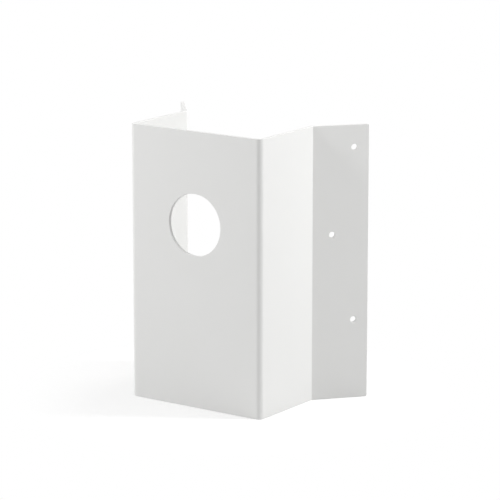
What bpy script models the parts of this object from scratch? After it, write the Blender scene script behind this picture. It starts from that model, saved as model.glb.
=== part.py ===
"""A corner mount bracket, folded from one sheet of steel.

It is made the way the real one is: a flat blank is cut out, its holes are punched, its edges are
rounded, and then the sheet is folded along four upright lines. Front plate, two side walls and
two wings are one piece. A building's outer corner reaches into the box from behind. The wings
turn out by a little less than half a right angle, so that their outer edges meet the two walls
first, and the screws then draw each wing tight against its wall.

The bracket stands on its lower edge, with its front plate facing -Y and +Z up. The origin is at
the bottom centre of the space that it fills. Lengths are in metres.
"""

import math
from collections import namedtuple

import bmesh
import bpy
from mathutils import Matrix, Vector

# Sizes of the folded sheet
SHEET = 0.003  # thickness of the steel
BEND_RADIUS = 0.0015  # inside radius of every fold
PLATE_WIDTH = 0.127  # over the outer faces of the two side walls
HEIGHT = 0.224
WALL_DEPTH = 0.072  # from the plate's front to the corner where wall and wing faces meet
WING_LENGTH = 0.0465  # from that corner to the wing's outer edge
WALL_ANGLE = math.radians(90)
WING_ANGLE = math.radians(40)

# Sizes of the blank's edges
CORNER_RADIUS = 0.001
EDGE_ROUNDING = 0.0003

# The cable hole, on the plate's centre line
CABLE_HOLE_DIAMETER = 0.050
CABLE_HOLE_DROP = 0.075  # of its centre, below the top edge

# The three screw holes of each wing: two in an outer row, and one between them in an inner row
SCREW_HOLE_DIAMETER = 0.005
TOP_SCREW_DROP = 0.018  # below the top edge
SCREW_PITCH = 0.0705  # from each hole down to the next
OUTER_ROW_INSET = 0.012  # from the wing's outer edge
INNER_ROW_INSET = 0.030

# How finely round shapes are drawn
FOLD_STEP = math.radians(7.5)
CABLE_HOLE_SIDES = 96
SCREW_HOLE_SIDES = 32
CORNER_SIDES = 4
ROUNDING_SIDES = 2
HOLE_MARGIN = 0.003  # from a hole's rim to the lines that frame it on the flat faces
SMOOTH_UP_TO = math.radians(35)
SQUARE_EDGES_FROM = math.radians(60)

COATING_COLOUR = (0.80, 0.80, 0.79, 1.0)
COATING_ROUGHNESS = 0.45

# A fold's outer radius, and its radius at the middle of the sheet, which keeps its flat length
OUTER_RADIUS = BEND_RADIUS + SHEET
MIDDLE_RADIUS = BEND_RADIUS + SHEET / 2
PUNCH_LENGTH = 3 * SHEET

# Half of the front face, from the plate's centre line outwards: each flat run is followed by the
# angle of the fold at its end, positive where the sheet turns towards the back.
PLATE_RUN = PLATE_WIDTH / 2 - OUTER_RADIUS * math.tan(WALL_ANGLE / 2)
WALL_RUN = (
    WALL_DEPTH
    - OUTER_RADIUS * math.tan(WALL_ANGLE / 2)
    - BEND_RADIUS * math.tan(WING_ANGLE / 2)
)
WING_RUN = WING_LENGTH - BEND_RADIUS * math.tan(WING_ANGLE / 2)
RUNS = ((PLATE_RUN, WALL_ANGLE), (WALL_RUN, -WING_ANGLE), (WING_RUN, 0.0))


def flat_length(angle):
    """The width of blank that a fold takes up."""
    return abs(angle) * MIDDLE_RADIUS


BLANK_HALF_WIDTH = sum(run + flat_length(angle) for run, angle in RUNS)


def clear_scene():
    """Remove the objects that a new scene starts with."""
    for obj in list(bpy.data.objects):
        bpy.data.objects.remove(obj, do_unlink=True)


def add_object(name, mesh):
    """Put a mesh into the scene under this name."""
    obj = bpy.data.objects.new(name, mesh)
    bpy.context.scene.collection.objects.link(obj)
    return obj


def rounded_outline(half_width, height, radius):
    """The corners of the blank, going round it, each one an arc."""
    right, left = half_width - radius, radius - half_width
    top, bottom = height - radius, radius
    points = []
    for quarter, (across, up) in enumerate(((right, top), (left, top), (left, bottom), (right, bottom))):
        for step in range(CORNER_SIDES + 1):
            angle = math.radians(90) * (quarter + step / CORNER_SIDES)
            arm = Vector((math.cos(angle), 0.0, math.sin(angle)))
            points.append(Vector((across, 0.0, up)) + radius * arm)
    return points


def fold_lines():
    """How far from the centre line the blank is divided, so that each fold can turn in steps."""
    lines = []
    start = 0.0
    for run, angle in RUNS:
        start += run
        steps = round(abs(angle) / FOLD_STEP)
        if steps:
            lines.extend(start + flat_length(angle) * step / steps for step in range(steps + 1))
        start += flat_length(angle)
    return lines


Hole = namedtuple("Hole", "diameter sides across height")


def holes():
    """The cable hole and the wings' screw holes, where they lie on the blank."""
    found = [Hole(CABLE_HOLE_DIAMETER, CABLE_HOLE_SIDES, 0.0, HEIGHT - CABLE_HOLE_DROP)]
    for row, inset in enumerate((OUTER_ROW_INSET, INNER_ROW_INSET, OUTER_ROW_INSET)):
        height = HEIGHT - TOP_SCREW_DROP - row * SCREW_PITCH
        for across in (inset - BLANK_HALF_WIDTH, BLANK_HALF_WIDTH - inset):
            found.append(Hole(SCREW_HOLE_DIAMETER, SCREW_HOLE_SIDES, across, height))
    return found


def divide(mesh, axis, place):
    """Cut every face that crosses this place along the axis, and leave both sides joined."""
    normal = Vector((0.0, 0.0, 0.0))
    normal[axis] = 1.0
    everything = mesh.verts[:] + mesh.edges[:] + mesh.faces[:]
    bmesh.ops.bisect_plane(mesh, geom=everything, plane_co=place * normal, plane_no=normal)


def flat_blank():
    """The sheet before it is punched: front face at Y = 0, back face at Y = SHEET."""
    mesh = bmesh.new()
    outline = rounded_outline(BLANK_HALF_WIDTH, HEIGHT, CORNER_RADIUS)
    front = mesh.faces.new([mesh.verts.new(point) for point in outline])
    back = bmesh.ops.extrude_face_region(mesh, geom=[front])["geom"]
    corners = [item for item in back if isinstance(item, bmesh.types.BMVert)]
    bmesh.ops.translate(mesh, verts=corners, vec=(0.0, SHEET, 0.0))
    for line in fold_lines():
        divide(mesh, 0, -line)
        divide(mesh, 0, line)
    for hole in holes():
        for reach in (-hole.diameter / 2 - HOLE_MARGIN, hole.diameter / 2 + HOLE_MARGIN):
            divide(mesh, 0, hole.across + reach)
            divide(mesh, 2, hole.height + reach)
    bmesh.ops.recalc_face_normals(mesh, faces=mesh.faces[:])
    return as_mesh(mesh, "blank")


def punches():
    """A round bar through the sheet, square to it, for each hole."""
    mesh = bmesh.new()
    turned = Matrix.Rotation(math.radians(90), 4, "X")
    for hole in holes():
        bmesh.ops.create_cone(
            mesh,
            cap_ends=True,
            segments=hole.sides,
            radius1=hole.diameter / 2,
            radius2=hole.diameter / 2,
            depth=PUNCH_LENGTH,
            matrix=Matrix.Translation((hole.across, SHEET / 2, hole.height)) @ turned,
        )
    return as_mesh(mesh, "punches")


def as_mesh(source, name):
    """Turn a bmesh into a mesh, and free it."""
    mesh = bpy.data.meshes.new(name)
    source.to_mesh(mesh)
    source.free()
    return mesh


def punched_blank():
    """The flat blank with its holes cut and all its edges rounded."""
    blank = add_object("flat_blank", flat_blank())
    cutter = add_object("punches", punches())
    cutter.hide_render = True
    cutter.display_type = "WIRE"
    punching = blank.modifiers.new("punched holes", "BOOLEAN")
    punching.operation = "DIFFERENCE"
    punching.solver = "EXACT"
    punching.object = cutter
    rounding = blank.modifiers.new("rounded edges", "BEVEL")
    rounding.width = EDGE_ROUNDING
    rounding.segments = ROUNDING_SIDES
    rounding.use_clamp_overlap = False
    rounding.limit_method = "ANGLE"
    rounding.angle_limit = SQUARE_EDGES_FROM
    evaluated = blank.evaluated_get(bpy.context.evaluated_depsgraph_get())
    mesh = bpy.data.meshes.new_from_object(evaluated)
    bpy.data.objects.remove(blank, do_unlink=True)
    bpy.data.objects.remove(cutter, do_unlink=True)
    return mesh


def folded(point):
    """Where a point of the flat blank lies once the sheet is folded."""
    rest = abs(point.x)
    place = Vector((0.0, 0.0))
    heading = Vector((1.0, 0.0))
    for run, angle in RUNS:
        step = min(rest, run)
        place += step * heading
        rest -= step
        turned = math.copysign(min(rest / MIDDLE_RADIUS, abs(angle)), angle)
        rest -= flat_length(turned)
        to_centre = OUTER_RADIUS if angle > 0 else -BEND_RADIUS
        arm = to_centre * Vector((-heading.y, heading.x))
        turn = Matrix.Rotation(turned, 2)
        place += arm - turn @ arm
        heading = turn @ heading
    place += point.y * Vector((-heading.y, heading.x))
    return Vector((math.copysign(place.x, point.x), place.y, point.z))


def fold_sheet(mesh):
    """Fold the punched blank, and put its bottom centre at the origin."""
    for vertex in mesh.vertices:
        vertex.co = folded(vertex.co)
    depths = [vertex.co.y for vertex in mesh.vertices]
    middle = (min(depths) + max(depths)) / 2
    mesh.transform(Matrix.Translation((0.0, -middle, 0.0)))


def coating():
    """White powder coat on steel."""
    material = bpy.data.materials.new("white powder coat")
    material.use_nodes = True
    shader = material.node_tree.nodes["Principled BSDF"]
    shader.inputs["Base Color"].default_value = COATING_COLOUR
    shader.inputs["Roughness"].default_value = COATING_ROUGHNESS
    shader.inputs["Metallic"].default_value = 0.0
    return material


def main():
    clear_scene()
    mesh = punched_blank()
    mesh.name = "corner_bracket"
    fold_sheet(mesh)
    mesh.shade_smooth()
    mesh.set_sharp_from_angle(angle=SMOOTH_UP_TO)
    mesh.materials.append(coating())
    add_object("corner_bracket", mesh)


main()
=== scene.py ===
"""The looks of the corner mount bracket: a folded steel sheet in white powder coat.

The sheet is made as the real one is. A flat blank is cut out and punched, its edges are rounded,
and it is folded along four upright lines. Then come its coating, the pale floor, the soft lights
and the camera. Lengths are in metres, with +Z up, and the front plate faces -Y.
"""

import math
from collections import namedtuple

import bmesh
import bpy
from mathutils import Matrix, Vector


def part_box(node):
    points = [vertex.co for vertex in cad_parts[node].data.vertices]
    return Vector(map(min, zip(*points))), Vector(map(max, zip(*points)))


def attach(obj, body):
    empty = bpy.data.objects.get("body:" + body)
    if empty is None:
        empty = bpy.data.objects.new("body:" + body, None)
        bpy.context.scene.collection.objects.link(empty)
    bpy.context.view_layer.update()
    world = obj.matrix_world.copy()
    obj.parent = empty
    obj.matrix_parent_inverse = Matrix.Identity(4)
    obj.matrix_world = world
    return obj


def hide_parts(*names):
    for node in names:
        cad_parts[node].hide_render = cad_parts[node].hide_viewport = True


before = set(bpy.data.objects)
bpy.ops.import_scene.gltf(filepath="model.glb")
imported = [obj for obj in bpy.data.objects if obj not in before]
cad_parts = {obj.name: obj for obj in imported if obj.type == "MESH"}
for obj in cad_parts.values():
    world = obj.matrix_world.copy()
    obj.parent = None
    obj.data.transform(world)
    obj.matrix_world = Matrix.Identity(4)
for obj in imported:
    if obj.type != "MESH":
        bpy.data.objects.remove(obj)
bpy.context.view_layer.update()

SHEET_LOW, SHEET_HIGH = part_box("corner_bracket")

# Sizes of the folded sheet
SHEET = 0.003
BEND_RADIUS = 0.0015  # inside radius of every fold
PLATE_WIDTH = 0.127  # over the outer faces of the two side walls
HEIGHT = SHEET_HIGH.z - SHEET_LOW.z
WALL_DEPTH = 0.072  # from the plate's front to the corner where wall and wing faces meet
WING_LENGTH = 0.0465  # from that corner to the wing's outer edge
WALL_ANGLE = math.radians(90)
WING_ANGLE = math.radians(40)

# Sizes of the blank's edges and holes
CORNER_RADIUS = 0.001
EDGE_ROUNDING = 0.0003  # of every cut edge, and of the holes' rims
CABLE_HOLE_DIAMETER = 0.050
CABLE_HOLE_DROP = 0.075  # of its centre, below the top edge
SCREW_HOLE_DIAMETER = 0.005
TOP_SCREW_DROP = 0.018
SCREW_PITCH = 0.0705
OUTER_ROW_INSET = 0.012  # from the wing's outer edge
INNER_ROW_INSET = 0.030

# How finely round shapes are drawn
FOLD_STEP = math.radians(2.5)
CABLE_HOLE_SIDES = 192
SCREW_HOLE_SIDES = 64
CORNER_SIDES = 10
ROUNDING_SIDES = 4
HOLE_MARGIN = 0.003  # from a hole's rim to the lines that frame it on the flat faces
QUARTER_TURN = math.radians(90)
SMOOTH_UP_TO = math.radians(35)
SQUARE_EDGES_FROM = math.radians(60)
FLAT_FACE_WEIGHT = 100  # of 100: beside a rounding, the large flat face settles the shading

# A fold's outer radius, and its radius at the middle of the sheet, which keeps its flat length
OUTER_RADIUS = BEND_RADIUS + SHEET
MIDDLE_RADIUS = BEND_RADIUS + SHEET / 2
PUNCH_LENGTH = 3 * SHEET

# Half of the front face, from the plate's centre line outwards: each flat run is followed by the
# angle of the fold at its end, positive where the sheet turns towards the back.
PLATE_RUN = PLATE_WIDTH / 2 - OUTER_RADIUS * math.tan(WALL_ANGLE / 2)
WALL_RUN = (
    WALL_DEPTH
    - OUTER_RADIUS * math.tan(WALL_ANGLE / 2)
    - BEND_RADIUS * math.tan(WING_ANGLE / 2)
)
WING_RUN = WING_LENGTH - BEND_RADIUS * math.tan(WING_ANGLE / 2)
RUNS = ((PLATE_RUN, WALL_ANGLE), (WALL_RUN, -WING_ANGLE), (WING_RUN, 0.0))

# The coating
COAT_COLOUR = (0.835, 0.835, 0.825, 1.0)
COAT_SHADE = (0.815, 0.815, 0.803, 1.0)
COAT_ROUGHNESS = (0.40, 0.48)
CLOUD_SIZE = 0.045  # of the broad, faint changes of tone
PEEL_SIZE = 0.0022  # of the orange peel
PEEL_HEIGHT = 0.000010
GRAIN_SIZE = 0.0005
GRAIN_HEIGHT = 0.0000015

# The light: an even glow from all round, and soft boxes that face the bracket. Azimuth 0 is in
# front of the plate and 90 is at its right; angles are in degrees and powers in watts.
AMBIENT = 0.44
FLOOR_BOUNCE = 0.60  # the floor's tone for the light that it throws back
SoftBox = namedtuple("SoftBox", "name azimuth elevation distance size power")
SOFT_BOXES = (
    SoftBox("left_box", -58, 8, 1.0, (0.3, 0.5), 2.5),
    SoftBox("key_box", -22, 32, 2.0, (0.4, 0.4), 8.2),
    SoftBox("side_box", 121, 26, 1.3, (0.3, 0.5), 10.3),
    SoftBox("back_box", 180, 10, 1.2, (0.5, 0.5), 2.7),
    SoftBox("top_box", 0, 85, 1.5, (0.8, 0.8), 5.0),
)

# The floor, which fades to plain white away from the bracket
FLOOR_SIZE = 30.0
FLOOR_TONE = 0.9
FLOOR_GLOW = 0.16  # near the bracket, besides the light that falls on it
FADE_START = 0.11
FADE_END = 0.18

# The camera
CAMERA_AZIMUTH = math.radians(35.27)
CAMERA_ELEVATION = math.radians(12.58)
CAMERA_DISTANCE = 2.182
CAMERA_TARGET = Vector((0.0199, -0.0071, 0.1229))
CAMERA_LENS = 196.6  # mm, on a 36 mm sensor


def flat_length(angle):
    """The width of blank that a fold takes up."""
    return abs(angle) * MIDDLE_RADIUS


BLANK_HALF_WIDTH = sum(run + flat_length(angle) for run, angle in RUNS)


def add_object(name, data):
    """Put a mesh, lamp or camera into the scene under this name."""
    obj = bpy.data.objects.new(name, data)
    bpy.context.scene.collection.objects.link(obj)
    return obj


def rounded_outline(half_width, height, radius):
    """The corners of the blank, going round it, each one an arc."""
    right, left = half_width - radius, radius - half_width
    top, bottom = height - radius, radius
    points = []
    centres = ((right, top), (left, top), (left, bottom), (right, bottom))
    for quarter, (across, up) in enumerate(centres):
        for step in range(CORNER_SIDES + 1):
            angle = QUARTER_TURN * (quarter + step / CORNER_SIDES)
            arm = Vector((math.cos(angle), 0.0, math.sin(angle)))
            points.append(Vector((across, 0.0, up)) + radius * arm)
    return points


def fold_lines():
    """How far from the centre line the blank is divided, so that each fold can turn in steps."""
    lines = []
    start = 0.0
    for run, angle in RUNS:
        start += run
        steps = round(abs(angle) / FOLD_STEP)
        if steps:
            lines.extend(start + flat_length(angle) * step / steps for step in range(steps + 1))
        start += flat_length(angle)
    return lines


Hole = namedtuple("Hole", "diameter sides across height")


def holes():
    """The cable hole and the wings' screw holes, where they lie on the blank."""
    found = [Hole(CABLE_HOLE_DIAMETER, CABLE_HOLE_SIDES, 0.0, HEIGHT - CABLE_HOLE_DROP)]
    for row, inset in enumerate((OUTER_ROW_INSET, INNER_ROW_INSET, OUTER_ROW_INSET)):
        height = HEIGHT - TOP_SCREW_DROP - row * SCREW_PITCH
        for across in (inset - BLANK_HALF_WIDTH, BLANK_HALF_WIDTH - inset):
            found.append(Hole(SCREW_HOLE_DIAMETER, SCREW_HOLE_SIDES, across, height))
    return found


def divide(mesh, axis, place):
    """Cut every face that crosses this place along the axis, and leave both sides joined."""
    normal = Vector((0.0, 0.0, 0.0))
    normal[axis] = 1.0
    everything = mesh.verts[:] + mesh.edges[:] + mesh.faces[:]
    bmesh.ops.bisect_plane(mesh, geom=everything, plane_co=place * normal, plane_no=normal)


def as_mesh(source, name):
    """Turn a bmesh into a mesh, and free it."""
    mesh = bpy.data.meshes.new(name)
    source.to_mesh(mesh)
    source.free()
    return mesh


def flat_blank():
    """The sheet before it is punched: front face at Y = 0, back face at Y = SHEET."""
    mesh = bmesh.new()
    outline = rounded_outline(BLANK_HALF_WIDTH, HEIGHT, CORNER_RADIUS)
    front = mesh.faces.new([mesh.verts.new(point) for point in outline])
    back = bmesh.ops.extrude_face_region(mesh, geom=[front])["geom"]
    corners = [item for item in back if isinstance(item, bmesh.types.BMVert)]
    bmesh.ops.translate(mesh, verts=corners, vec=(0.0, SHEET, 0.0))
    for line in fold_lines():
        divide(mesh, 0, -line)
        divide(mesh, 0, line)
    for hole in holes():
        for reach in (-hole.diameter / 2 - HOLE_MARGIN, hole.diameter / 2 + HOLE_MARGIN):
            divide(mesh, 0, hole.across + reach)
            divide(mesh, 2, hole.height + reach)
    bmesh.ops.recalc_face_normals(mesh, faces=mesh.faces[:])
    return as_mesh(mesh, "blank")


def punches():
    """A round bar through the sheet, square to it, for each hole."""
    mesh = bmesh.new()
    turned = Matrix.Rotation(QUARTER_TURN, 4, "X")
    for hole in holes():
        bmesh.ops.create_cone(
            mesh,
            cap_ends=True,
            segments=hole.sides,
            radius1=hole.diameter / 2,
            radius2=hole.diameter / 2,
            depth=PUNCH_LENGTH,
            matrix=Matrix.Translation((hole.across, SHEET / 2, hole.height)) @ turned,
        )
    return as_mesh(mesh, "punches")


def punched_blank():
    """The flat blank with its holes cut and all its edges rounded."""
    blank = add_object("flat_blank", flat_blank())
    cutter = add_object("punches", punches())
    punching = blank.modifiers.new("punched holes", "BOOLEAN")
    punching.operation = "DIFFERENCE"
    punching.solver = "EXACT"
    punching.object = cutter
    rounding = blank.modifiers.new("rounded edges", "BEVEL")
    rounding.width = EDGE_ROUNDING
    rounding.segments = ROUNDING_SIDES
    rounding.use_clamp_overlap = False
    rounding.limit_method = "ANGLE"
    rounding.angle_limit = SQUARE_EDGES_FROM
    evaluated = blank.evaluated_get(bpy.context.evaluated_depsgraph_get())
    mesh = bpy.data.meshes.new_from_object(evaluated)
    bpy.data.objects.remove(blank, do_unlink=True)
    bpy.data.objects.remove(cutter, do_unlink=True)
    return mesh


def folded(point):
    """Where a point of the flat blank lies once the sheet is folded."""
    rest = abs(point.x)
    place = Vector((0.0, 0.0))
    heading = Vector((1.0, 0.0))
    for run, angle in RUNS:
        step = min(rest, run)
        place += step * heading
        rest -= step
        turned = math.copysign(min(rest / MIDDLE_RADIUS, abs(angle)), angle)
        rest -= flat_length(turned)
        to_centre = OUTER_RADIUS if angle > 0 else -BEND_RADIUS
        arm = to_centre * Vector((-heading.y, heading.x))
        turn = Matrix.Rotation(turned, 2)
        place += arm - turn @ arm
        heading = turn @ heading
    place += point.y * Vector((-heading.y, heading.x))
    return Vector((math.copysign(place.x, point.x), place.y, point.z))


def bracket_sheet():
    """The punched blank, folded, with its front face and lower edge where the frame has them."""
    mesh = punched_blank()
    mesh.name = "bracket_sheet"
    for vertex in mesh.vertices:
        vertex.co = folded(vertex.co)
    mesh.transform(Matrix.Translation((0.0, SHEET_LOW.y, SHEET_LOW.z)))
    mesh.shade_smooth()
    mesh.set_sharp_from_angle(angle=SMOOTH_UP_TO)
    mesh.materials.append(powder_coat())
    piece = add_object("bracket_sheet", mesh)
    shading = piece.modifiers.new("flat faces stay flat", "WEIGHTED_NORMAL")
    shading.mode = "FACE_AREA"
    shading.weight = FLAT_FACE_WEIGHT
    shading.keep_sharp = True
    return piece


def noise(nodes, links, place, size, detail):
    """Noise whose features are this size in metres, as a value from 0 to 1."""
    node = nodes.new("ShaderNodeTexNoise")
    node.inputs["Scale"].default_value = 1 / size
    node.inputs["Detail"].default_value = detail
    links.new(place, node.inputs["Vector"])
    return node.outputs["Fac"]


def powder_coat():
    """White powder coat: a faint orange peel, and tones and a sheen that are not quite even."""
    material = bpy.data.materials.new("white_powder_coat")
    material.use_nodes = True
    nodes, links = material.node_tree.nodes, material.node_tree.links
    shader = nodes["Principled BSDF"]
    place = nodes.new("ShaderNodeTexCoord").outputs["Object"]

    clouds = noise(nodes, links, place, CLOUD_SIZE, detail=3.0)
    tone = nodes.new("ShaderNodeMix")
    tone.data_type = "RGBA"
    tone.inputs["A"].default_value = COAT_SHADE
    tone.inputs["B"].default_value = COAT_COLOUR
    links.new(clouds, tone.inputs["Factor"])
    links.new(tone.outputs["Result"], shader.inputs["Base Color"])

    sheen = nodes.new("ShaderNodeMapRange")
    sheen.inputs["To Min"].default_value = COAT_ROUGHNESS[0]
    sheen.inputs["To Max"].default_value = COAT_ROUGHNESS[1]
    links.new(noise(nodes, links, place, PEEL_SIZE, detail=2.0), sheen.inputs["Value"])
    links.new(sheen.outputs["Result"], shader.inputs["Roughness"])

    grain = nodes.new("ShaderNodeBump")
    grain.inputs["Distance"].default_value = GRAIN_HEIGHT
    links.new(noise(nodes, links, place, GRAIN_SIZE, detail=2.0), grain.inputs["Height"])
    peel = nodes.new("ShaderNodeBump")
    peel.inputs["Distance"].default_value = PEEL_HEIGHT
    links.new(noise(nodes, links, place, PEEL_SIZE, detail=1.0), peel.inputs["Height"])
    links.new(grain.outputs["Normal"], peel.inputs["Normal"])
    links.new(peel.outputs["Normal"], shader.inputs["Normal"])
    return material


def seen_directly(nodes, links):
    """1 for what the camera sees, also in a reflection or through glass, and 0 for other light."""
    path = nodes.new("ShaderNodeLightPath")
    total = path.outputs["Is Camera Ray"]
    for ray in ("Is Glossy Ray", "Is Transmission Ray"):
        larger = nodes.new("ShaderNodeMath")
        larger.operation = "MAXIMUM"
        links.new(total, larger.inputs[0])
        links.new(path.outputs[ray], larger.inputs[1])
        total = larger.outputs["Value"]
    return total


def mixed(nodes, links, factor, first, second):
    """A mix of two shaders: the first where the factor is 0, and the second where it is 1."""
    mix = nodes.new("ShaderNodeMixShader")
    links.new(factor, mix.inputs["Fac"])
    links.new(first, mix.inputs[1])
    links.new(second, mix.inputs[2])
    return mix.outputs["Shader"]


def grey(level):
    """A colour of this tone, for a shader's socket."""
    return (level, level, level, 1.0)


def floor_finish():
    """Matt and pale: its shadow shows near the bracket, and further out it is plain white."""
    material = bpy.data.materials.new("pale_floor")
    material.use_nodes = True
    nodes, links = material.node_tree.nodes, material.node_tree.links
    nodes.remove(nodes["Principled BSDF"])

    bounce = nodes.new("ShaderNodeBsdfDiffuse")
    bounce.inputs["Color"].default_value = grey(FLOOR_BOUNCE)
    matt = nodes.new("ShaderNodeBsdfDiffuse")
    matt.inputs["Color"].default_value = grey(FLOOR_TONE)
    glow = nodes.new("ShaderNodeEmission")
    glow.inputs["Color"].default_value = grey(FLOOR_GLOW)
    near = nodes.new("ShaderNodeAddShader")
    links.new(matt.outputs["BSDF"], near.inputs[0])
    links.new(glow.outputs["Emission"], near.inputs[1])
    white = nodes.new("ShaderNodeEmission")
    white.inputs["Color"].default_value = grey(1.0)

    place = nodes.new("ShaderNodeTexCoord").outputs["Object"]
    away = nodes.new("ShaderNodeVectorMath")
    away.operation = "LENGTH"
    links.new(place, away.inputs[0])
    fade = nodes.new("ShaderNodeMapRange")
    fade.interpolation_type = "SMOOTHSTEP"
    fade.inputs["From Min"].default_value = FADE_START
    fade.inputs["From Max"].default_value = FADE_END
    links.new(away.outputs["Value"], fade.inputs["Value"])

    far = fade.outputs["Result"]
    shown = mixed(nodes, links, far, near.outputs["Shader"], white.outputs["Emission"])
    both = mixed(nodes, links, seen_directly(nodes, links), bounce.outputs["BSDF"], shown)
    links.new(both, nodes["Material Output"].inputs["Surface"])
    return material


def floor():
    """The surface that the bracket stands on."""
    mesh = bmesh.new()
    bmesh.ops.create_grid(mesh, x_segments=1, y_segments=1, size=FLOOR_SIZE / 2)
    obj = add_object("floor", as_mesh(mesh, "floor"))
    obj.location.z = SHEET_LOW.z
    obj.data.materials.append(floor_finish())


def surroundings():
    """A white room: plain white where it is seen, and an even glow as light."""
    world = bpy.data.worlds.new("white_room")
    world.use_nodes = True
    bpy.context.scene.world = world
    nodes, links = world.node_tree.nodes, world.node_tree.links
    glow = nodes["Background"]
    glow.inputs["Color"].default_value = grey(AMBIENT)
    white = nodes.new("ShaderNodeBackground")
    white.inputs["Color"].default_value = grey(1.0)
    seen = seen_directly(nodes, links)
    both = mixed(nodes, links, seen, glow.outputs["Background"], white.outputs["Background"])
    links.new(both, nodes["World Output"].inputs["Surface"])


def direction_to(azimuth, elevation):
    """The way from the bracket to a viewer: azimuth 0 is -Y, and 90 degrees is +X."""
    level = math.cos(elevation)
    return Vector((math.sin(azimuth) * level, -math.cos(azimuth) * level, math.sin(elevation)))


def lights():
    """The soft boxes, each turned to the middle of the bracket."""
    middle = (SHEET_LOW + SHEET_HIGH) / 2
    for box in SOFT_BOXES:
        lamp = bpy.data.lights.new(box.name, "AREA")
        lamp.shape = "RECTANGLE"
        lamp.size, lamp.size_y = box.size
        lamp.energy = box.power
        obj = add_object(box.name, lamp)
        direction = direction_to(math.radians(box.azimuth), math.radians(box.elevation))
        obj.location = middle + box.distance * direction
        obj.rotation_euler = direction.to_track_quat("Z", "Y").to_euler()


def camera():
    """The photograph's view: from the right of the front plate, and a little above."""
    data = bpy.data.cameras.new("camera")
    data.lens = CAMERA_LENS
    obj = add_object("camera", data)
    back = direction_to(CAMERA_AZIMUTH, CAMERA_ELEVATION)
    obj.location = CAMERA_TARGET + CAMERA_DISTANCE * back
    obj.rotation_euler = back.to_track_quat("Z", "Y").to_euler()
    bpy.context.scene.camera = obj


piece = bracket_sheet()
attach(piece, "root")
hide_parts("corner_bracket")
floor()
surroundings()
lights()
camera()
bpy.context.scene.view_settings.view_transform = "Standard"
